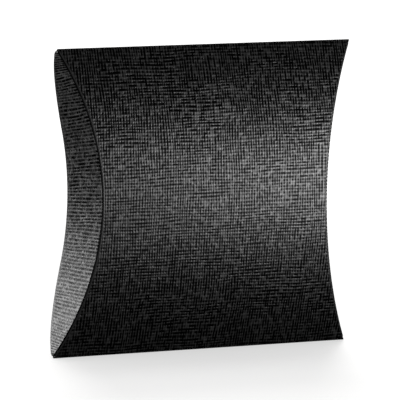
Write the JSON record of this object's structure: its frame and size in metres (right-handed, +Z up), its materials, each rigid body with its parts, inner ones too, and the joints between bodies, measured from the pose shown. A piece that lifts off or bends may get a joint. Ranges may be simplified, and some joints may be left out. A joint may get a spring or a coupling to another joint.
{
  "type": "pillow box",
  "caption": "Card pillow box with two bowed panels, straight folds at top and bottom, and curved end flaps that close in pairs.",
  "frame": {"origin": "middle of the footprint, on the surface that the box stands on with its bottom fold", "axes": "+X along the folds towards the right end, +Y through the thickness from the front panel to the back panel, +Z up from the bottom fold to the top fold"},
  "size_m": [0.1194, 0.0263, 0.11],
  "materials": {
    "embossed_card": "black linen-embossed card with a satin sheen",
    "glue": "dried clear-cream paper glue"
  },
  "bodies": {
    "shell": {"front_panel": "embossed_card", "back_panel": "embossed_card", "top_fold": "embossed_card", "bottom_fold": "embossed_card", "glue_tab": "embossed_card", "glue_line": "glue"},
    "left_outer": {"left_outer_flap": "embossed_card"},
    "left_inner": {"left_inner_flap": "embossed_card"},
    "right_outer": {"right_outer_flap": "embossed_card"},
    "right_inner": {"right_inner_flap": "embossed_card"}
  },
  "joints": [
    {"name": "left_outer_crease", "type": "hinge", "parent": "shell", "child": "left_outer", "pos_m": [-0.04635, 0.01315, 0.055], "axis": [0, 0, -1], "range_deg": [0, 90]},
    {"name": "left_inner_crease", "type": "hinge", "parent": "shell", "child": "left_inner", "pos_m": [-0.04575, -0.01315, 0.055], "axis": [0, 0, 1], "range_deg": [0, 90]},
    {"name": "right_outer_crease", "type": "hinge", "parent": "shell", "child": "right_outer", "pos_m": [0.04635, 0.01315, 0.055], "axis": [0, 0, 1], "range_deg": [0, 90]},
    {"name": "right_inner_crease", "type": "hinge", "parent": "shell", "child": "right_inner", "pos_m": [0.04575, -0.01315, 0.055], "axis": [0, 0, -1], "range_deg": [0, 90]}
  ],
  "couplings": [
    {"joint": "left_inner_crease", "follows": "left_outer_crease", "ratio": 1},
    {"joint": "right_inner_crease", "follows": "right_outer_crease", "ratio": 1}
  ]
}
